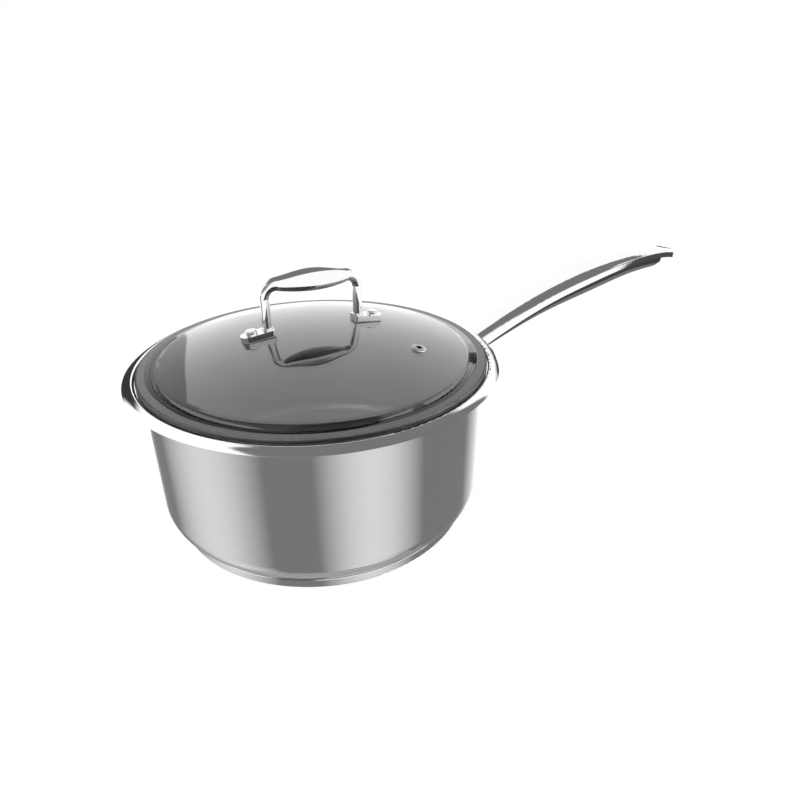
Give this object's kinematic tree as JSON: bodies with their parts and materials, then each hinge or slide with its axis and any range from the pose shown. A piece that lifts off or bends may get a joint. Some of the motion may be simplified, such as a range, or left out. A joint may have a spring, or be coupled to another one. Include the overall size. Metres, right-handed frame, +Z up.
{
  "type": "saucepan with glass lid",
  "caption": "Steel saucepan with a capsule base, recessed pouring rim, long hollow handle with a hanging slot, and a lift-off domed glass lid with a bow handle and steam vent.",
  "frame": {"origin": "centre of the flat underside of the base", "axes": "+X along the long handle from the pan to its tip, +Z up out of the pan, +Y across the handle"},
  "size_m": [0.4117, 0.2218, 0.1543],
  "materials": {
    "pan_steel": "satin",
    "base_steel": "satin, turned",
    "core_aluminium": "as pressed",
    "handle_steel": "mirror polished",
    "cover_steel": "mirror polished",
    "rivet_steel": "polished",
    "bow_steel": "mirror polished",
    "fitting_steel": "polished",
    "silicone": "translucent matt",
    "lid_glass": "clear tempered"
  },
  "bodies": {
    "pan": {"pan_body": "pan_steel", "base_core": "core_aluminium", "base_capsule": "base_steel", "handle_casting": "handle_steel", "handle_cover": "cover_steel", "handle_rivet_left": "rivet_steel", "handle_rivet_right": "rivet_steel", "handle_rivet_lower": "rivet_steel"},
    "lid": {"lid_glass": "lid_glass", "lid_bow": "bow_steel", "vent_eyelet": "fitting_steel", "vent_washer": "silicone", "lid_foot_front": "bow_steel", "cap_nut_front": "fitting_steel", "foot_gasket_front": "silicone", "inner_gasket_front": "silicone", "screw_washer_front": "fitting_steel", "lid_screw_front": "fitting_steel", "lid_foot_rear": "bow_steel", "cap_nut_rear": "fitting_steel", "foot_gasket_rear": "silicone", "inner_gasket_rear": "silicone", "screw_washer_rear": "fitting_steel", "lid_screw_rear": "fitting_steel"}
  },
  "joints": [
    {"name": "lid_lift", "type": "slide", "parent": "pan", "child": "lid", "axis": [0, 0, 1], "range_m": [0, 0.15]}
  ]
}
